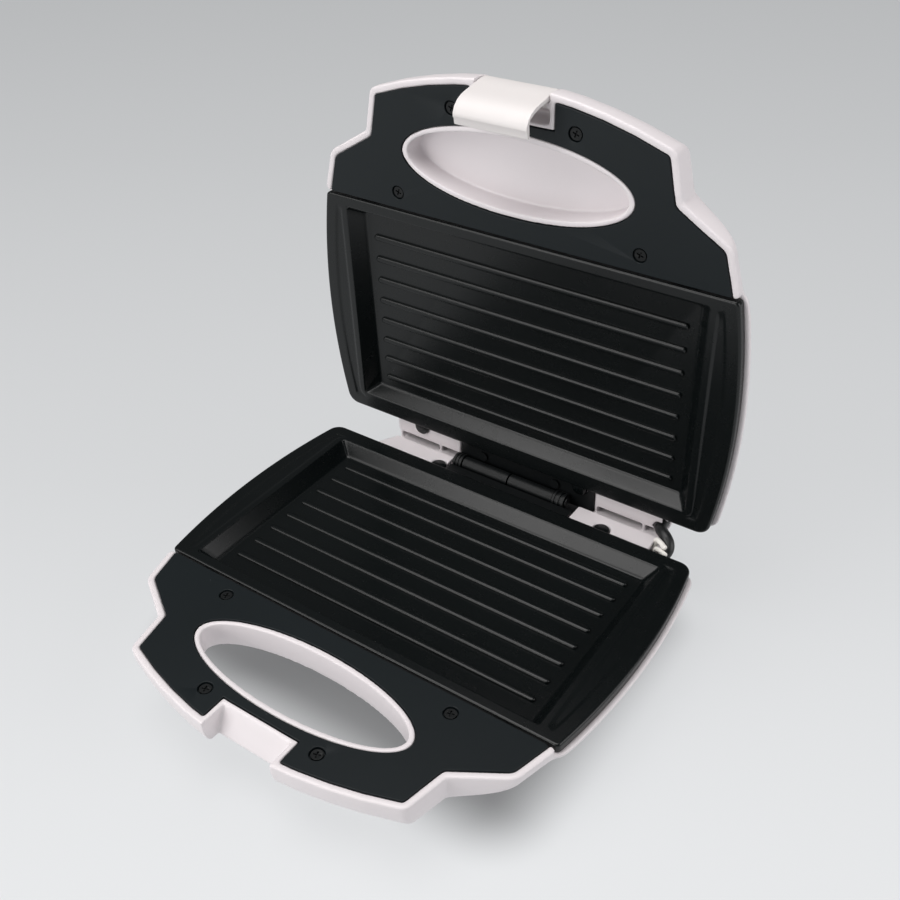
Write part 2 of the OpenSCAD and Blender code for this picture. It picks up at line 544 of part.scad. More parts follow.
module lamp_holder() color([0.88, 0.87, 0.85]) on_lid() difference() {
  box(-15, 15, -18.5, -9.5, 22, 29.8);
  for (x = [-10, 10]) rod([x, -14, 22.5], 2.4, 9);
}
module lid_wiring() color([0.85, 0.82, 0.74]) on_lid() {
  wire([[-16.6, -12, 25], [-22, -6, 27], [-30, 10, 28], [-34, 34, 27], [-30, 56, 24], [0, 68, 20], [50, 72, 16], [76, 76, 13], [82, 79, 10.5]], 1.3);
  wire([[-107.3, 42, 14.4], [-107.5, 46, 16], [-100, 56, 20.5], [-84, 63.5, 21.5], [-50, 67, 22], [0, 73, 18], [50, 78, 13], [74, 82, 10.5], [81, 84, 9]], 1.3);
}
module latch_pin() color([0.7, 0.7, 0.72]) lid_up() rod([-notch_w, ly, lz], 1.5, 2 * notch_w, "x");

// ---- latch ----------------------------------------------------------------
// section of the flap, hanging from its barrel: y, z
flap_out = [[-129, 8], [-129, 4.6], [-128.5, 1.2], [-127.9, -2.5], [-127.4, -6.5], [-126.7, -10.2], [-125.3, -13.6], [-123.2, -16], [-120.6, -17.3], [-119.1, -17.4]];
flap_in = [[-118, -16.8], [-115.3, -16.4], [-114.9, -15.7], [-115.2, -14.85], [-121.3, -14.9], [-122.9, -14.3], [-123.7, -12.6], [-124.8, -9.8], [-125.5, -6.3], [-125.9, -2.3], [-126.3, 1.2], [-125.6, 4.4]];
module latch_flap() color([0.97, 0.96, 0.93]) lid_up() difference() {
  union() {
    translate([-notch_in + 0.4, 0, 0]) rotate([90, 0, 90]) linear_extrude(2 * notch_in - 0.8) polygon(concat(flap_out, flap_in, [[ly, lz]]));
    rod([-notch_in + 0.4, ly, lz], 4.4, 2 * notch_in - 0.8, "x");
  }
  rod([-20, ly, lz], 1.5 + run_gap, 40, "x");
}

// ---- leads that cross the hinge -------------------------------------------
loop_pts = [[86.2, 100, 1.6], [86.6, 96, 1.4], [87.9, 92.8, 1.3], [91.2, 90.4, 1.6], [94, 89, 1], [96.2, 87.9, -0.4], [97.4, 86.5, -2], [97.9, 84.9, -3.6], [97, 83.3, -5.6], [94.6, 82, -7.2], [91.6, 81, -8.9], [89.9, 80.6, -11.8]];
module lead_sleeve() color([0.1, 0.11, 0.11]) base_up() wire(loop_pts, 2.25, 10);
module lead_pair() color([0.93, 0.9, 0.84]) base_up() {
  wire([[90.2, 85.9, -11], [90.3, 86.1, -7], [90.8, 86.2, -4], [91, 86, -0.9], [91.1, 84.7, 1.1], [92.3, 83.5, 1.4], [93.9, 82.9, 0.4], [95.6, 82.8, -0.9]], 0.95);
  wire([[87.8, 84, -12], [88.4, 84.1, -7.6], [90.2, 83.6, -4.5], [91.6, 83, -2.6], [93.2, 82.2, -2.3], [95.2, 81.2, -2.6], [97.2, 80.5, -2.9]], 0.95);
}

base_housing();
base_trim_panel();
base_grill_plate();
base_heating_element();
base_element_terminals();
base_heat_reflector();
base_reflector_screws();
base_plate_screws();
base_trim_screws();
base_hinge_bracket();
base_hinge_screws();
hinge_pin();
rubber_feet();
thermostat();
thermal_fuse();
terminal_block();
cord_gland();
base_wiring();
lid_housing();
lid_trim_panel();
lid_grill_plate();
lid_heating_element();
lid_element_terminals();
lid_heat_reflector();
lid_reflector_screws();
lid_plate_screws();
lid_trim_screws();
lid_hinge_bracket();
lid_hinge_screws();
power_lamp_lens();
ready_lamp_lens();
neon_lamps();
lamp_holder();
lid_wiring();
latch_pin();
latch_flap();
lead_sleeve();
lead_pair();
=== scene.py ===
import bpy
import bmesh
import json
import math
import numpy as np
from mathutils import Matrix, Vector

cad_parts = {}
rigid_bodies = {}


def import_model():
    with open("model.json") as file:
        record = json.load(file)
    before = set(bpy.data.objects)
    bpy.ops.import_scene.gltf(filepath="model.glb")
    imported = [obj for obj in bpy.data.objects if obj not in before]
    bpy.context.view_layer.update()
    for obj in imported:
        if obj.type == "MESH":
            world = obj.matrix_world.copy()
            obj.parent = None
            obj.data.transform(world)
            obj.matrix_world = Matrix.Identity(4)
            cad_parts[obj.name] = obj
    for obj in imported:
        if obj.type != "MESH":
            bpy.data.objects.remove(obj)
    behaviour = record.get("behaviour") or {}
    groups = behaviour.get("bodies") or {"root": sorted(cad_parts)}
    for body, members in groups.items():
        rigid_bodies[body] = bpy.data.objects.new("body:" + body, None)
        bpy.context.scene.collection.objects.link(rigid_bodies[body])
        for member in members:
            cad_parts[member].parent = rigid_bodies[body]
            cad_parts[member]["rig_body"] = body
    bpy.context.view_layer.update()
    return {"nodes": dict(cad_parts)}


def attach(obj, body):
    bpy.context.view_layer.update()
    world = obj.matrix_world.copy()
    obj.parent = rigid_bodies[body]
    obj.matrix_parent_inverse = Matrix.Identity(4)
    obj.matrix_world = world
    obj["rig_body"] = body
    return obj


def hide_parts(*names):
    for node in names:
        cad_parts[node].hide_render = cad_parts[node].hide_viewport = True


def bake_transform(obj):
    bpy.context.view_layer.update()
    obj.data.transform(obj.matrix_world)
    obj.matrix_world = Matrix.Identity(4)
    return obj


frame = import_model()
nodes = frame["nodes"]
scene = bpy.context.scene
slot_of = {n: o.data.materials[0].name for n, o in nodes.items()}
for o in nodes.values():
    o.data.materials.clear()
for m in list(bpy.data.materials):
    bpy.data.materials.remove(m)


# ---------------------------------------------------------------- placing ---
# Pieces are drawn in millimetres about the parting plane of their own half,
# with h growing away from it, then set into the row frame in metres.
YS, PZ, HY, HZ, GAP = 1.67, 40.0, 88.3, -1.8, 0.5
OPEN = math.radians(88)


def on_base(p):
    p = np.asarray(p, float)
    return np.stack([p[:, 0], p[:, 1] + YS, PZ - p[:, 2]], 1) / 1000


def lid_up(p):
    p = np.asarray(p, float)
    y, z = p[:, 1] - HY, p[:, 2] - HZ
    c, s = math.cos(OPEN), math.sin(OPEN)
    return np.stack([p[:, 0], HY + y * c + z * s + YS, HZ - y * s + z * c + PZ], 1) / 1000


def on_lid(p):
    p = np.asarray(p, float).copy()
    p[:, 2] += GAP
    return lid_up(p)


def base_up(p):
    p = np.asarray(p, float)
    return (p + np.array([0, YS, PZ])) / 1000


# -------------------------------------------------------------- materials ---
def material(name, base, rough, base2=None, spot=6.0, grain=900.0, bump=0.1, depth=0.0001,
             metallic=0.0, spread=0.05, coat=0.0, specular=0.5, specks=None, wave=0.0,
             transmission=0.0, sheen=0.0):
    """moulded or pressed finish: slow colour drift, fine grain in bump and roughness"""
    m = bpy.data.materials.new(name)
    m.use_nodes = True
    nt = m.node_tree
    b = nt.nodes["Principled BSDF"]
    tc = nt.nodes.new("ShaderNodeTexCoord")
    obj = tc.outputs["Object"]

    def noise(scale, detail, rough_=0.5):
        n = nt.nodes.new("ShaderNodeTexNoise")
        n.inputs["Scale"].default_value = scale
        n.inputs["Detail"].default_value = detail
        n.inputs["Roughness"].default_value = rough_
        nt.links.new(obj, n.inputs["Vector"])
        return n.outputs["Fac"]

    def ramp(fac, lo, hi, a, c):
        r = nt.nodes.new("ShaderNodeMapRange")
        for k, v in (("From Min", lo), ("From Max", hi), ("To Min", a), ("To Max", c)):
            r.inputs[k].default_value = v
        nt.links.new(fac, r.inputs["Value"])
        return r.outputs["Result"]

    base2 = base2 or tuple(c * 0.93 for c in base)
    mix = nt.nodes.new("ShaderNodeMix")
    mix.data_type = "RGBA"
    mix.inputs["A"].default_value = (*base, 1)
    mix.inputs["B"].default_value = (*base2, 1)
    nt.links.new(ramp(noise(spot, 4), 0.35, 0.7, 0, 1), mix.inputs["Factor"])
    colour = mix.outputs["Result"]
    fine = noise(grain, 3, 0.6)
    if specks:
        colour_s, size, share, amount = specks
        v = nt.nodes.new("ShaderNodeTexVoronoi")
        v.inputs["Scale"].default_value = 150
        nt.links.new(obj, v.inputs["Vector"])
        near = nt.nodes.new("ShaderNodeMath")
        near.operation = "LESS_THAN"
        near.inputs[1].default_value = size
        nt.links.new(v.outputs["Distance"], near.inputs[0])
        sep = nt.nodes.new("ShaderNodeSeparateColor")
        nt.links.new(v.outputs["Color"], sep.inputs["Color"])
        pick = nt.nodes.new("ShaderNodeMath")
        pick.operation = "LESS_THAN"
        pick.inputs[1].default_value = share
        nt.links.new(sep.outputs["Red"], pick.inputs[0])
        both = nt.nodes.new("ShaderNodeMath")
        both.operation = "MULTIPLY"
        nt.links.new(near.outputs[0], both.inputs[0])
        nt.links.new(pick.outputs[0], both.inputs[1])
        amt = nt.nodes.new("ShaderNodeMath")
        amt.operation = "MULTIPLY"
        amt.inputs[1].default_value = amount
        nt.links.new(both.outputs[0], amt.inputs[0])
        mx = nt.nodes.new("ShaderNodeMix")
        mx.data_type = "RGBA"
        nt.links.new(amt.outputs[0], mx.inputs["Factor"])
        nt.links.new(colour, mx.inputs["A"])
        mx.inputs["B"].default_value = (*colour_s, 1)
        colour = mx.outputs["Result"]
    nt.links.new(colour, b.inputs["Base Color"])
    nt.links.new(ramp(fine, 0.3, 0.7, rough - spread, rough + spread), b.inputs["Roughness"])
    height = fine
    if wave:
        add = nt.nodes.new("ShaderNodeMath")
        add.operation = "MULTIPLY_ADD"
        add.inputs[1].default_value = wave
        nt.links.new(noise(38, 2), add.inputs[0])
        nt.links.new(fine, add.inputs[2])
        height = add.outputs[0]
    bp = nt.nodes.new("ShaderNodeBump")
    bp.inputs["Strength"].default_value = bump
    bp.inputs["Distance"].default_value = depth
    nt.links.new(height, bp.inputs["Height"])
    nt.links.new(bp.outputs["Normal"], b.inputs["Normal"])
    b.inputs["Metallic"].default_value = metallic
    b.inputs["Coat Weight"].default_value = coat
    b.inputs["Coat Roughness"].default_value = 0.25
    b.inputs["Specular IOR Level"].default_value = specular
    b.inputs["Transmission Weight"].default_value = transmission
    b.inputs["Sheen Weight"].default_value = sheen
    m.diffuse_color = (*base, 1)
    return m


MAT = {
    "white_shell": material("white_shell", (0.755, 0.712, 0.725), 0.38, (0.745, 0.70, 0.715), spot=9,
                            grain=1600, bump=0.05, depth=0.00006, spread=0.04, wave=2.0),
    "latch_plastic": material("latch_plastic", (0.735, 0.705, 0.695), 0.42, (0.725, 0.69, 0.68), spot=14,
                              grain=1400, bump=0.05, depth=0.00006, spread=0.04, wave=2.0),
    "dark_trim": material("dark_trim", (0.0062, 0.0096, 0.0112), 0.46, (0.0050, 0.0080, 0.0094), spot=12,
                          grain=2600, bump=0.22, depth=0.00008, spread=0.06, specular=0.22,
                          specks=((0.20, 0.21, 0.22), 0.03, 0.22, 0.55)),
    "coated_plate": material("coated_plate", (0.0024, 0.0038, 0.0040), 0.27, (0.0018, 0.0030, 0.0032), spot=20,
                             grain=130, bump=0.03, depth=0.00002, spread=0.008, specular=0.35, wave=0.0),
    "element_steel": material("element_steel", (0.22, 0.20, 0.18), 0.45, (0.12, 0.09, 0.08), spot=60,
                              grain=1200, bump=0.2, metallic=0.9, spread=0.1),
    "ceramic": material("ceramic", (0.80, 0.77, 0.68), 0.55, (0.72, 0.68, 0.60), spot=120, grain=1500,
                        bump=0.15),
    "reflector_sheet": material("reflector_sheet", (0.66, 0.67, 0.69), 0.30, (0.58, 0.59, 0.61), spot=40,
                                grain=700, bump=0.12, metallic=1.0, spread=0.08),
    "plain_steel": material("plain_steel", (0.56, 0.55, 0.54), 0.32, (0.46, 0.45, 0.44), spot=150,
                            grain=1800, bump=0.1, metallic=1.0, spread=0.08),
    "black_steel": material("black_steel", (0.0032, 0.0042, 0.0046), 0.46, (0.0045, 0.0055, 0.006), spot=160,
                            grain=1500, bump=0.1, spread=0.06, specular=0.26),
    "foot_rubber": material("foot_rubber", (0.016, 0.016, 0.017), 0.75, (0.024, 0.024, 0.025), spot=120,
                            grain=1300, bump=0.3, spread=0.08),
    "gland_plastic": material("gland_plastic", (0.70, 0.69, 0.68), 0.42, (0.66, 0.65, 0.64), spot=60,
                              grain=1600, bump=0.08),
    "silicone_lead": material("silicone_lead", (0.90, 0.875, 0.83), 0.38, (0.86, 0.83, 0.78), spot=220,
                              grain=1400, bump=0.08),
    "black_sleeve": material("black_sleeve", (0.0045, 0.0055, 0.006), 0.42, (0.007, 0.008, 0.0085), spot=260,
                             grain=1200, bump=0.25, spread=0.08),
    "red_lens": material("red_lens", (0.62, 0.03, 0.02), 0.12, (0.52, 0.02, 0.015), spot=120, grain=900,
                         bump=0.03, transmission=0.5, spread=0.03),
    "green_lens": material("green_lens", (0.03, 0.42, 0.08), 0.12, (0.02, 0.34, 0.06), spot=120, grain=900,
                           bump=0.03, transmission=0.5, spread=0.03),
    "lamp_glass": material("lamp_glass", (0.85, 0.62, 0.48), 0.10, (0.75, 0.52, 0.40), spot=160, grain=900,
                           bump=0.03, transmission=0.6, spread=0.03),
}


def dress(ob, slot):
    ob.data.materials.clear()
    ob.data.materials.append(MAT[slot])
    for p in ob.data.polygons:
        p.material_index = 0


# ---------------------------------------------------------------- helpers ---
def new_object(name, verts, faces, slot, body, smooth=True):
    me = bpy.data.meshes.new(name)
    me.from_pydata([tuple(v) for v in verts], [], [tuple(int(i) for i in f) for f in faces])
    me.validate()
    bm = bmesh.new()
    bm.from_mesh(me)
    bmesh.ops.remove_doubles(bm, verts=bm.verts, dist=2e-6)
    bmesh.ops.recalc_face_normals(bm, faces=bm.faces)
    for f in bm.faces:
        f.smooth = smooth
    bm.to_mesh(me)
    bm.free()
    ob = bpy.data.objects.new(name, me)
    scene.collection.objects.link(ob)
    dress(ob, slot)
    if body:
        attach(ob, body)
    return ob


def plain_copy(node, name, weld=2e-5, flat=0.3):
    """a CAD node's mesh, welded, with its flat faces joined, ready for rounding"""
    src = nodes[node].data
    bm = bmesh.new()
    bm.from_mesh(src)
    bmesh.ops.remove_doubles(bm, verts=bm.verts, dist=weld)
    bmesh.ops.dissolve_degenerate(bm, edges=bm.edges, dist=5e-6)
    if flat:
        bmesh.ops.dissolve_limit(bm, angle_limit=math.radians(flat), verts=bm.verts, edges=bm.edges,
                                 use_dissolve_boundaries=False)
    for f in bm.faces:
        f.smooth = True
    me = bpy.data.meshes.new(name)
    bm.to_mesh(me)
    bm.free()
    return me


def body_of(node):
    return nodes[node]["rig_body"]


def skin(node, width, segments=3, angle=28):
    """the CAD node with its edges rounded"""
    me = plain_copy(node, node + "_skin")
    ob = bpy.data.objects.new(node + "_skin", me)
    scene.collection.objects.link(ob)
    me.set_sharp_from_angle(angle=math.radians(40))
    bv = ob.modifiers.new("round", "BEVEL")
    bv.width = width / 1000
    bv.segments = segments
    bv.limit_method = "ANGLE"
    bv.angle_limit = math.radians(angle)
    bv.harden_normals = True
    bv.miter_outer = "MITER_ARC"
    slot = slot_of[node]
    dress(ob, slot)
    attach(ob, body_of(node))
    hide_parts(node)
    return ob


def evaluated(ob):
    dg = bpy.context.evaluated_depsgraph_get()
    return bpy.data.meshes.new_from_object(ob.evaluated_get(dg))


def relax(me, steps, limit):
    """evens out facets without moving any point further than limit"""
    n = len(me.vertices)
    co = np.empty(n * 3)
    me.vertices.foreach_get("co", co)
    co = co.reshape(-1, 3)
    ed = np.empty(len(me.edges) * 2, int)
    me.edges.foreach_get("vertices", ed)
    a, b = ed.reshape(-1, 2).T
    count = np.maximum(np.bincount(a, minlength=n) + np.bincount(b, minlength=n), 1)
    start = co.copy()
    for _ in range(steps):
        mean = np.empty_like(co)
        for k in range(3):
            mean[:, k] = (np.bincount(a, co[b, k], n) + np.bincount(b, co[a, k], n)) / count
        co = co + (mean - co) * 0.6
        move = co - start
        size = np.linalg.norm(move, axis=1)
        co = start + move * np.minimum(1, limit / np.maximum(size, 1e-12))[:, None]
    me.vertices.foreach_set("co", co.ravel())
    me.update()


def moulded(node, voxel, faces, rounds=6, steps=70, limit=0.00014):
    """the CAD node as one smooth moulding with rounded edges"""
    me = plain_copy(node, node + "_skin", flat=0)
    ob = bpy.data.objects.new(node + "_skin", me)
    scene.collection.objects.link(ob)
    rm = ob.modifiers.new("remesh", "REMESH")
    rm.mode = "VOXEL"
    rm.voxel_size = voxel
    rm.use_smooth_shade = True
    sm = ob.modifiers.new("smooth", "SMOOTH")
    sm.factor = 0.5
    sm.iterations = rounds
    me = evaluated(ob)
    ob.modifiers.clear()
    ob.data = me
    if node == "lid_housing":
        # the front corners of the crown follow its middle
        co = np.empty(len(me.vertices) * 3)
        me.vertices.foreach_get("co", co)
        co = co.reshape(-1, 3)
        top = np.interp(co[:, 2], (0.1443, 0.1503, 0.1543, 0.1623, 0.1643, 0.1683),
                        (0.12535, 0.12467, 0.12429, 0.12302, 0.12235, 0.11972))
        high = (np.abs(co[:, 0]) > 0.058) & (co[:, 2] > 0.1443) & (co[:, 2] < 0.1683) & (co[:, 1] > top)
        co[high, 1] = top[high]
        me.vertices.foreach_set("co", co.ravel())
    relax(me, steps, limit)
    if faces:
        tri = ob.modifiers.new("tri", "TRIANGULATE")
        dec = ob.modifiers.new("decimate", "DECIMATE")
        dec.ratio = min(1.0, faces / (2 * len(me.polygons)))
        me = evaluated(ob)
        ob.modifiers.clear()
        ob.data = me
    me.polygons.foreach_set("use_smooth", [True] * len(me.polygons))
    slot = slot_of[node]
    dress(ob, slot)
    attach(ob, body_of(node))
    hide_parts(node)
    return ob


def grid_faces(rings, n, closed=True):
    f = []
    for k in range(rings - 1):
        for i in range(n if closed else n - 1):
            j = (i + 1) % n
            f.append((k * n + i, k * n + j, (k + 1) * n + j, (k + 1) * n + i))
    return f


def tube(path, r, sides=20, sub=8, end=0.5):
    """round wire along a smooth curve through the given points, with rounded ends, in mm"""
    p = np.asarray(path, float)
    q = np.vstack([2 * p[0] - p[1], p, 2 * p[-1] - p[-2]])
    pts = []
    for i in range(1, len(q) - 2):
        for t in np.linspace(0, 1, sub, endpoint=False):
            a, b, c, d = q[i - 1], q[i], q[i + 1], q[i + 2]
            pts.append(0.5 * (2 * b + (c - a) * t + (2 * a - 5 * b + 4 * c - d) * t * t
                              + (3 * b - a - 3 * c + d) * t ** 3))
    pts = np.array(pts + [p[-1]])
    tan = np.gradient(pts, axis=0)
    tan /= np.linalg.norm(tan, axis=1)[:, None]
    u = np.cross(tan[0], [0.31, 0.52, 0.79])
    rings, radii = [], np.full(len(pts), r)
    for i, c in enumerate(pts):
        u = u - tan[i] * (u @ tan[i])
        u /= np.linalg.norm(u)
        w = np.cross(tan[i], u)
        for k in range(sides):
            a = 2 * math.pi * k / sides
            rings.append(c + radii[i] * (u * math.cos(a) + w * math.sin(a)))
    m = len(pts)
    verts, faces = list(rings), grid_faces(m, sides)
    # domed ends
    for s, i in ((-1, 0), (1, m - 1)):
        base = [i * sides + k for k in range(sides)]
        for a in (0.45, 0.85):
            c = pts[i] + s * tan[i] * r * end * math.sin(a * math.pi / 2)
            ring = [c + (verts[i * sides + k] - pts[i]) * math.cos(a * math.pi / 2) for k in range(sides)]
            off = len(verts)
            verts += ring
            faces += [(base[k], base[(k + 1) % sides], off + (k + 1) % sides, off + k) for k in range(sides)]
            base = [off + k for k in range(sides)]
        faces.append(tuple(base))
    return verts, faces


def join_parts(parts):
    verts, faces = [], []
    for v, f in parts:
        off = len(verts)
        verts += [tuple(x) for x in v]
        faces += [tuple(i + off for i in g) for g in f]
    return verts, faces


# ----------------------------------------------------------- grill plates ---
HALF_W, SIDE_R, YC, PF, PR = 119.8, 346.0, 10.0, -56.0, 77.0
TX, TF, TB, TR, TH = 100.5, -50.0, 66.5, 3.0, 8.0
RIM_H = 4.8
WALL_Y, WALL_X = 4.3, 6.2


def arc(c, r, a0, a1, n):
    t = np.radians(np.linspace(a0, a1, n))
    return np.stack([c[0] + r * np.cos(t), c[1] + r * np.sin(t)], 1)


def plate_outline(d, nf=60, nc=9, ns=44):
    """counter-clockwise from the middle of the front edge, moved outwards by d"""
    rf, rr = 2.5, 7.0
    c0 = np.array([HALF_W - SIDE_R, YC])
    cf = np.array([c0[0] + math.sqrt((SIDE_R - rf) ** 2 - (PF + rf - YC) ** 2), PF + rf])
    cr = np.array([c0[0] + math.sqrt((SIDE_R - rr) ** 2 - (PR - rr - YC) ** 2), PR - rr])
    af = math.degrees(math.atan2(cf[1] - YC, cf[0] - c0[0]))
    ar = math.degrees(math.atan2(cr[1] - YC, cr[0] - c0[0]))
    fr = np.stack([np.linspace(0, cf[0], nf, endpoint=False), np.full(nf, PF - d)], 1)
    c1 = arc(cf, rf + d, -90, af, nc)[:-1]
    sd = arc(c0, SIDE_R + d, af, ar, ns)[:-1]
    c2 = arc(cr, rr + d, ar, 90, nc)[:-1]
    rb = np.stack([np.linspace(cr[0], 0, nf, endpoint=False), np.full(nf, PR + d)], 1)
    half = np.vstack([fr, c1, sd, c2, rb])
    other = half[1:][::-1] * [-1, 1]
    return np.vstack([half, [[0, PR + d]], other])


def tray_outline(d, side=None, r=None, nf=60, nc=9, ns=44):
    """counter-clockwise round the tray, moved outwards by d, or by side along X"""
    r = max(TR + d, 0.8) if r is None else r
    x, f, b = TX + (d if side is None else side), TF - d, TB + d
    fr = np.stack([np.linspace(0, x - r, nf, endpoint=False), np.full(nf, f)], 1)
    c1 = arc((x - r, f + r), r, -90, 0, nc)[:-1]
    sd = np.stack([np.full(ns - 1, x), np.linspace(f + r, b - r, ns)[:-1]], 1)
    c2 = arc((x - r, b - r), r, 0, 90, nc)[:-1]
    rb = np.stack([np.linspace(x - r, 0, nf, endpoint=False), np.full(nf, b)], 1)
    half = np.vstack([fr, c1, sd, c2, rb])
    other = half[1:][::-1] * [-1, 1]
    return np.vstack([half, [[0, b]], other])


def smooth01(t):
    t = np.clip(t, 0, 1)
    return t * t * (3 - 2 * t)


def plate_parts(side):
    rings = []

    def add(xy, h):
        h = np.broadcast_to(h, len(xy))
        rings.append(np.column_stack([xy, h]))

    # underside of the skirt, its lower edge and outer face
    add(tray_outline(3), 3.2)
    add(plate_outline(-2.3), 3.2)
    add(plate_outline(-2.3), RIM_H - 0.3)
    add(plate_outline(-2.0), RIM_H)
    add(plate_outline(-0.3), RIM_H)
    add(plate_outline(0), RIM_H - 0.3)
    add(plate_outline(0), 3.0)
    for a in np.radians(np.linspace(0, 90, 7)):
        add(plate_outline(-1.2 * (1 - math.cos(a))), 1.2 * (1 - math.sin(a)))
    # flange: low band between the outer border and the bead round the tray
    po, ti = plate_outline(-1.2), tray_outline(1.0)
    for s in np.linspace(0, 1, 24)[1:-1]:
        xy = po * (1 - s) + ti * s
        dx = np.abs(xy[:, 0])
        arc_x = HALF_W - SIDE_R + np.sqrt(SIDE_R ** 2 - (xy[:, 1] - YC) ** 2)
        d_out = np.minimum(np.minimum(arc_x - dx, xy[:, 1] - PF), PR - xy[:, 1])
        qx, qy = dx - (TX - TR), np.abs(xy[:, 1] - (TF + TB) / 2) - ((TB - TF) / 2 - TR)
        d_tray = np.hypot(np.maximum(qx, 0), np.maximum(qy, 0)) + np.minimum(np.maximum(qx, qy), 0) - TR
        add(xy, 0.55 * smooth01((d_out - 6.6) / 1.6) * smooth01((d_tray - 3.6) / 1.4))
    # rounded edge of the tray, plain sloping walls, tight fillet at the floor
    for d, h in ((1.0, 0.0), (0.72, 0.04), (0.44, 0.14), (0.2, 0.3)):
        add(tray_outline(d, r=2.2), h)
    for k in np.linspace(0, 1, 7):
        h = 0.55 + 7.1 * k
        add(tray_outline(0.02 - WALL_Y * (h - 0.55) / 8, 0.02 - WALL_X * (h - 0.55) / 8, 1.6), h)
    for k, h in ((0.97, 7.84), (1.03, 7.95), (1.12, TH)):
        add(tray_outline(-WALL_Y * k, -WALL_X * k, 1.6), h)
    n = len(rings[0])
    verts = np.vstack(rings)
    faces = grid_faces(len(rings), n)
    last = (len(rings) - 1) * n
    faces.append(tuple(last + i for i in range(n)))
    parts = [(verts, faces)]
    # closed underside of the tray
    low = [np.column_stack([tray_outline(3), np.full(n, 3.2)]), np.column_stack([tray_outline(3), np.full(n, TH + 2)]),
           np.column_stack([tray_outline(2), np.full(n, TH + 3)])]
    f = grid_faces(3, n)
    f.append(tuple(2 * n + i for i in range(n)))
    parts.append((np.vstack(low), f))
    # ribs with a rounded crest
    prof = [(0.0, 1.5), (0.45, 1.49), (0.78, 1.44), (1.07, 1.35), (1.31, 1.21), (1.5, 1.03), (1.63, 0.82), (1.71, 0.6),
            (1.75, 0.4), (1.76, -0.12)]
    for i in range(8):
        y0 = (-34.15 if side > 0 else -32.75) + i * 12.62
        v = []
        m = 2 * 40 + 2 * 13
        for d, z in prof:
            xs = np.linspace(-87.9, 87.9, 41)[:-1]
            lo = np.stack([xs, np.full(40, y0 - d)], 1)
            e1 = arc((87.9, y0), d, -90, 90, 14)[:-1]
            hi = np.stack([-xs, np.full(40, y0 + d)], 1)
            e2 = arc((-87.9, y0), d, 90, 270, 14)[:-1]
            xy = np.vstack([lo, e1, hi, e2])
            v.append(np.column_stack([xy, np.full(len(xy), TH - z)]))
        m = len(v[0])
        parts.append((np.vstack(v), grid_faces(len(v), m)))
    # rear tabs
    for x in (-41 * side, 62 * side):
        o = arc((x, 78.2), 4.2, 0, 180, 21)
        o = np.vstack([[[x + 4.2, 74.5]], o, [[x - 4.2, 74.5]]])
        c = np.array([x, 77.0])
        v = []
        for k, h in ((0.90, 3.0), (1.0, 2.6), (1.0, 1.15), (0.965, 0.85), (0.90, 0.7)):
            v.append(np.column_stack([c + (o - c) * k, np.full(len(o), h)]))
        m = len(o)
        f = grid_faces(5, m)
        f.append(tuple(range(m)))
        f.append(tuple(4 * m + i for i in range(m)))
        parts.append((np.vstack(v), f))
    return parts


for half, place, side in (("base", on_base, 1), ("lid", on_lid, -1)):
    v, f = join_parts(plate_parts(side))
    ob = new_object(half + "_grill_plate_skin", place(v), f, "coated_plate", half)
    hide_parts(half + "_grill_plate")
    ob.data.set_sharp_from_angle(angle=math.radians(50))

# ------------------------------------------------------------ white shells --
for n in ("base_housing", "lid_housing"):
    moulded(n, 0.00052, 165000)

# ------------------------------------------------- pieces with eased edges --
for n, w, s in (("base_trim_panel", 0.4, 3), ("lid_trim_panel", 0.4, 3), ("latch_flap", 0.7, 4),
                ("base_hinge_bracket", 0.35, 2), ("lid_hinge_bracket", 0.35, 2), ("rubber_feet", 0.9, 3),
                ("cord_gland", 0.5, 3), ("terminal_block", 0.6, 2), ("thermostat", 0.4, 2),
                ("base_trim_screws", 0.18, 2), ("lid_trim_screws", 0.18, 2), ("hinge_pin", 0.25, 2),
                ("power_lamp_lens", 0.7, 3), ("ready_lamp_lens", 0.7, 3)):
    skin(n, w, s)

for n, o in nodes.items():
    dress(o, slot_of[n])

# ------------------------------------------------------------------ leads ---
sleeve = [[87.4, 100, 1.4], [87.7, 96, 1.2], [88.6, 92.8, 1.1], [91.2, 90.3, 1.3], [93.4, 88.8, 0.8], [95.3, 87.6, -0.5],
          [96.5, 86.2, -2], [96.9, 84.6, -3.6], [96.1, 83.1, -5.6], [94, 82, -7.2], [91.6, 81, -8.9], [89.9, 80.6, -11.8]]
lead_a = [[89.5, 84.6, -12], [89.5, 85.2, -7], [89.5, 85.9, -2.8], [89.8, 85.9, -0.9], [90.8, 85.2, 0.1], [93.4, 83.7, 0.1],
          [96.2, 82.0, -0.4]]
lead_b = [[90.6, 82.9, -12.2], [90.7, 82.7, -7.6], [90.9, 82.3, -4.6], [91.6, 82.0, -3.2], [92.8, 81.5, -2.6],
          [95.4, 80.7, -2.6], [97.8, 79.9, -2.9]]
v, f = tube(sleeve, 3.0)
ob = new_object("lead_sleeve_skin", base_up(v), f, "black_sleeve", None)
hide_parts("lead_sleeve")
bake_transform(ob)
v, f = join_parts([tube(lead_a, 1.35), tube(lead_b, 1.25)])
ob = new_object("lead_pair_skin", base_up(v), f, "silicone_lead", None)
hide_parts("lead_pair")
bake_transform(ob)

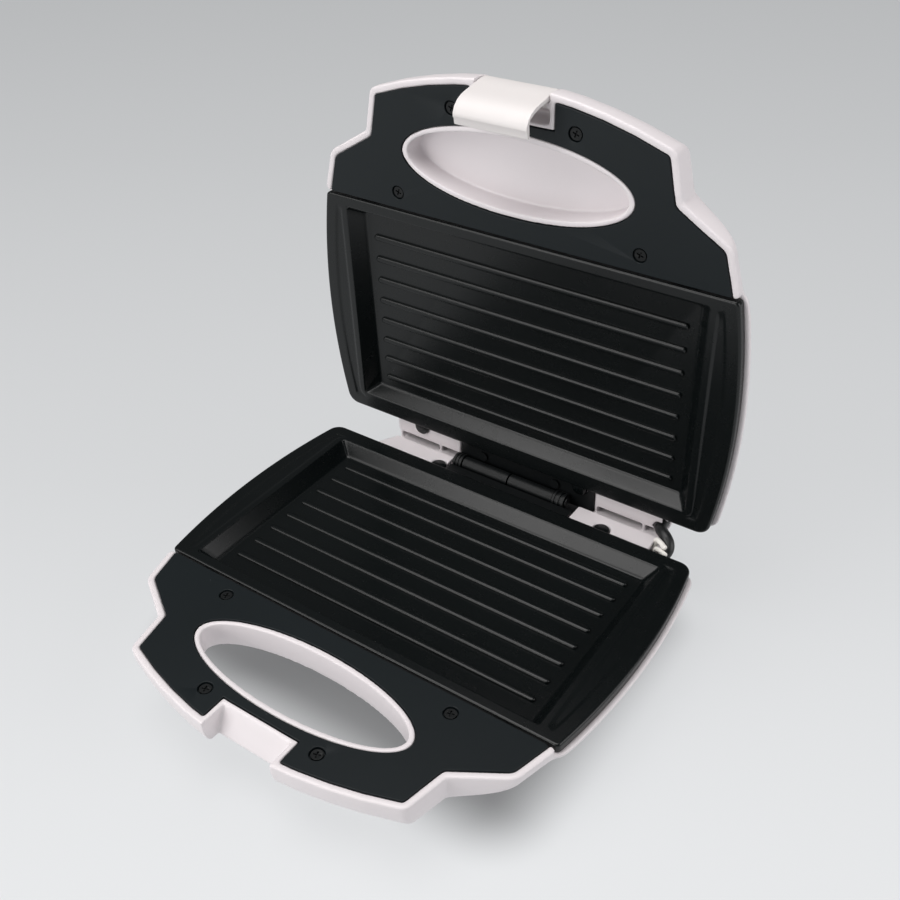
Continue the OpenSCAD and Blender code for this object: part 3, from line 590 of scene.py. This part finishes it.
# ------------------------------------------------------------------ stage ---
GLOW, PAPER = 0.81, 0.19
cam_data = bpy.data.cameras.new("camera")
cam = bpy.data.objects.new("camera", cam_data)
scene.collection.objects.link(cam)
right, up, behind = (0.82416, 0.56608, -0.01791), (-0.32113, 0.49312, 0.80852), (0.46652, -0.66060, 0.58819)
rot = Matrix([[right[i], up[i], behind[i]] for i in range(3)]).to_quaternion().to_matrix().to_4x4()
rot.translation = Vector((0.245678, -0.314699, 0.403454))
cam.matrix_world = rot
cam_data.sensor_width = 36
cam_data.lens = 43.196
cam_data.clip_start = 0.01
cam_data.clip_end = 50
scene.camera = cam

floor_mesh = bpy.data.meshes.new("floor")
floor_mesh.from_pydata([(-9, -9, 0), (9, -9, 0), (9, 9, 0), (-9, 9, 0)], [], [(0, 1, 2, 3)])
floor = bpy.data.objects.new("floor", floor_mesh)
scene.collection.objects.link(floor)
fm = bpy.data.materials.new("floor_paper")
fm.use_nodes = True
nt = fm.node_tree
bs = nt.nodes["Principled BSDF"]


def node(kind, op=None, **values):
    n = nt.nodes.new(kind)
    if op:
        n.operation = op
    for k, v in values.items():
        n.inputs[k.replace("_", " ")].default_value = v
    return n


tc = node("ShaderNodeTexCoord")
# distance along the floor away from the viewer, from the object's middle; the paper's tone is painted along it,
# lighter near the viewer and darker further off, a painted fall-off of light
dot = node("ShaderNodeVectorMath", "DOT_PRODUCT")
dot.inputs[1].default_value = (-0.5769, 0.8168, 0)
nt.links.new(tc.outputs["Object"], dot.inputs[0])
rng = node("ShaderNodeMapRange", From_Min=-0.16, From_Max=1.30)
nt.links.new(dot.outputs["Value"], rng.inputs["Value"])
rp = node("ShaderNodeValToRGB")
rp.color_ramp.interpolation = "B_SPLINE"
stops = rp.color_ramp.elements
# tones of the painted fall-off of light across the paper, lightest nearest the viewer
for at, tone in ((0.0, 232), (0.1, 221.5), (0.2, 213.5), (0.36, 207), (0.58, 201), (1.0, 195)):
    stop = stops[0] if at == 0 else stops[-1] if at == 1 else stops.new(at)
    level = [(((tone + tint) / 255 + 0.055) / 1.055) ** 2.4 for tint in (-0.8, 0.8, 2.4)]
    stop.color = (*level, 1)
nt.links.new(rng.outputs["Result"], rp.inputs["Fac"])
# the paper glows a little, less under and close to the object: a painted contact shadow in its glow
mid = node("ShaderNodeVectorMath", "ADD")
mid.inputs[1].default_value = (0, 0, 0)
nt.links.new(tc.outputs["Object"], mid.inputs[0])
off = node("ShaderNodeVectorMath", "ABSOLUTE")
nt.links.new(mid.outputs[0], off.inputs[0])
out_of = node("ShaderNodeVectorMath", "SUBTRACT")
out_of.inputs[1].default_value = (0.086, 0.064, 0)
nt.links.new(off.outputs[0], out_of.inputs[0])
only = node("ShaderNodeVectorMath", "MAXIMUM")
only.inputs[1].default_value = (0, 0, 0)
nt.links.new(out_of.outputs[0], only.inputs[0])
away = node("ShaderNodeVectorMath", "LENGTH")
nt.links.new(only.outputs[0], away.inputs[0])
# glow falls to 0.2 under and next to the body, painting its shadow onto the floor
glow_and_painted_shadow = node("ShaderNodeMapRange", From_Min=0.0, From_Max=0.040, To_Min=0.2, To_Max=GLOW)
glow_and_painted_shadow.interpolation_type = "SMOOTHSTEP"
nt.links.new(away.outputs["Value"], glow_and_painted_shadow.inputs["Value"])
pale = node("ShaderNodeVectorMath", "SCALE")
pale.inputs["Scale"].default_value = PAPER
nt.links.new(rp.outputs["Color"], pale.inputs[0])
nt.links.new(pale.outputs[0], bs.inputs["Base Color"])
nt.links.new(rp.outputs["Color"], bs.inputs["Emission Color"])
nt.links.new(glow_and_painted_shadow.outputs["Result"], bs.inputs["Emission Strength"])
bs.inputs["Roughness"].default_value = 0.9
bs.inputs["Specular IOR Level"].default_value = 0.1
floor_mesh.materials.append(fm)

world = bpy.data.worlds.new("world")
scene.world = world
world.use_nodes = True
wt = world.node_tree
bg = wt.nodes["Background"]
bg.inputs["Color"].default_value = (0.97, 0.985, 1.0, 1)
bg.inputs["Strength"].default_value = 0.12


def area(name, where, at, size, power, colour=(1, 1, 1)):
    d = bpy.data.lights.new(name, "AREA")
    d.shape = "RECTANGLE"
    d.size, d.size_y = size
    d.energy = power
    d.color = colour
    o = bpy.data.objects.new(name, d)
    o.location = where
    o.rotation_euler = (Vector(at) - Vector(where)).to_track_quat("-Z", "Y").to_euler()
    scene.collection.objects.link(o)
    return o


area("front_box", (-0.70, -0.90, 0.95), (0, 0, 0.09), (1.0, 1.0), 7.5, (1.0, 0.985, 0.975))
area("low_box", (-0.36, -1.27, 0.35), (0, 0, 0.07), (0.8, 0.5), 5.2, (1.0, 0.985, 0.98))
area("top_box", (-0.17, -0.13, 1.35), (0, 0.05, 0.08), (0.95, 0.95), 12.0, (1.0, 0.985, 0.98))
area("side_fill", (1.15, 0.35, 0.62), (0, 0, 0.05), (0.9, 0.9), 7.0, (1.0, 0.985, 0.99))
scene.view_settings.view_transform = "Standard"
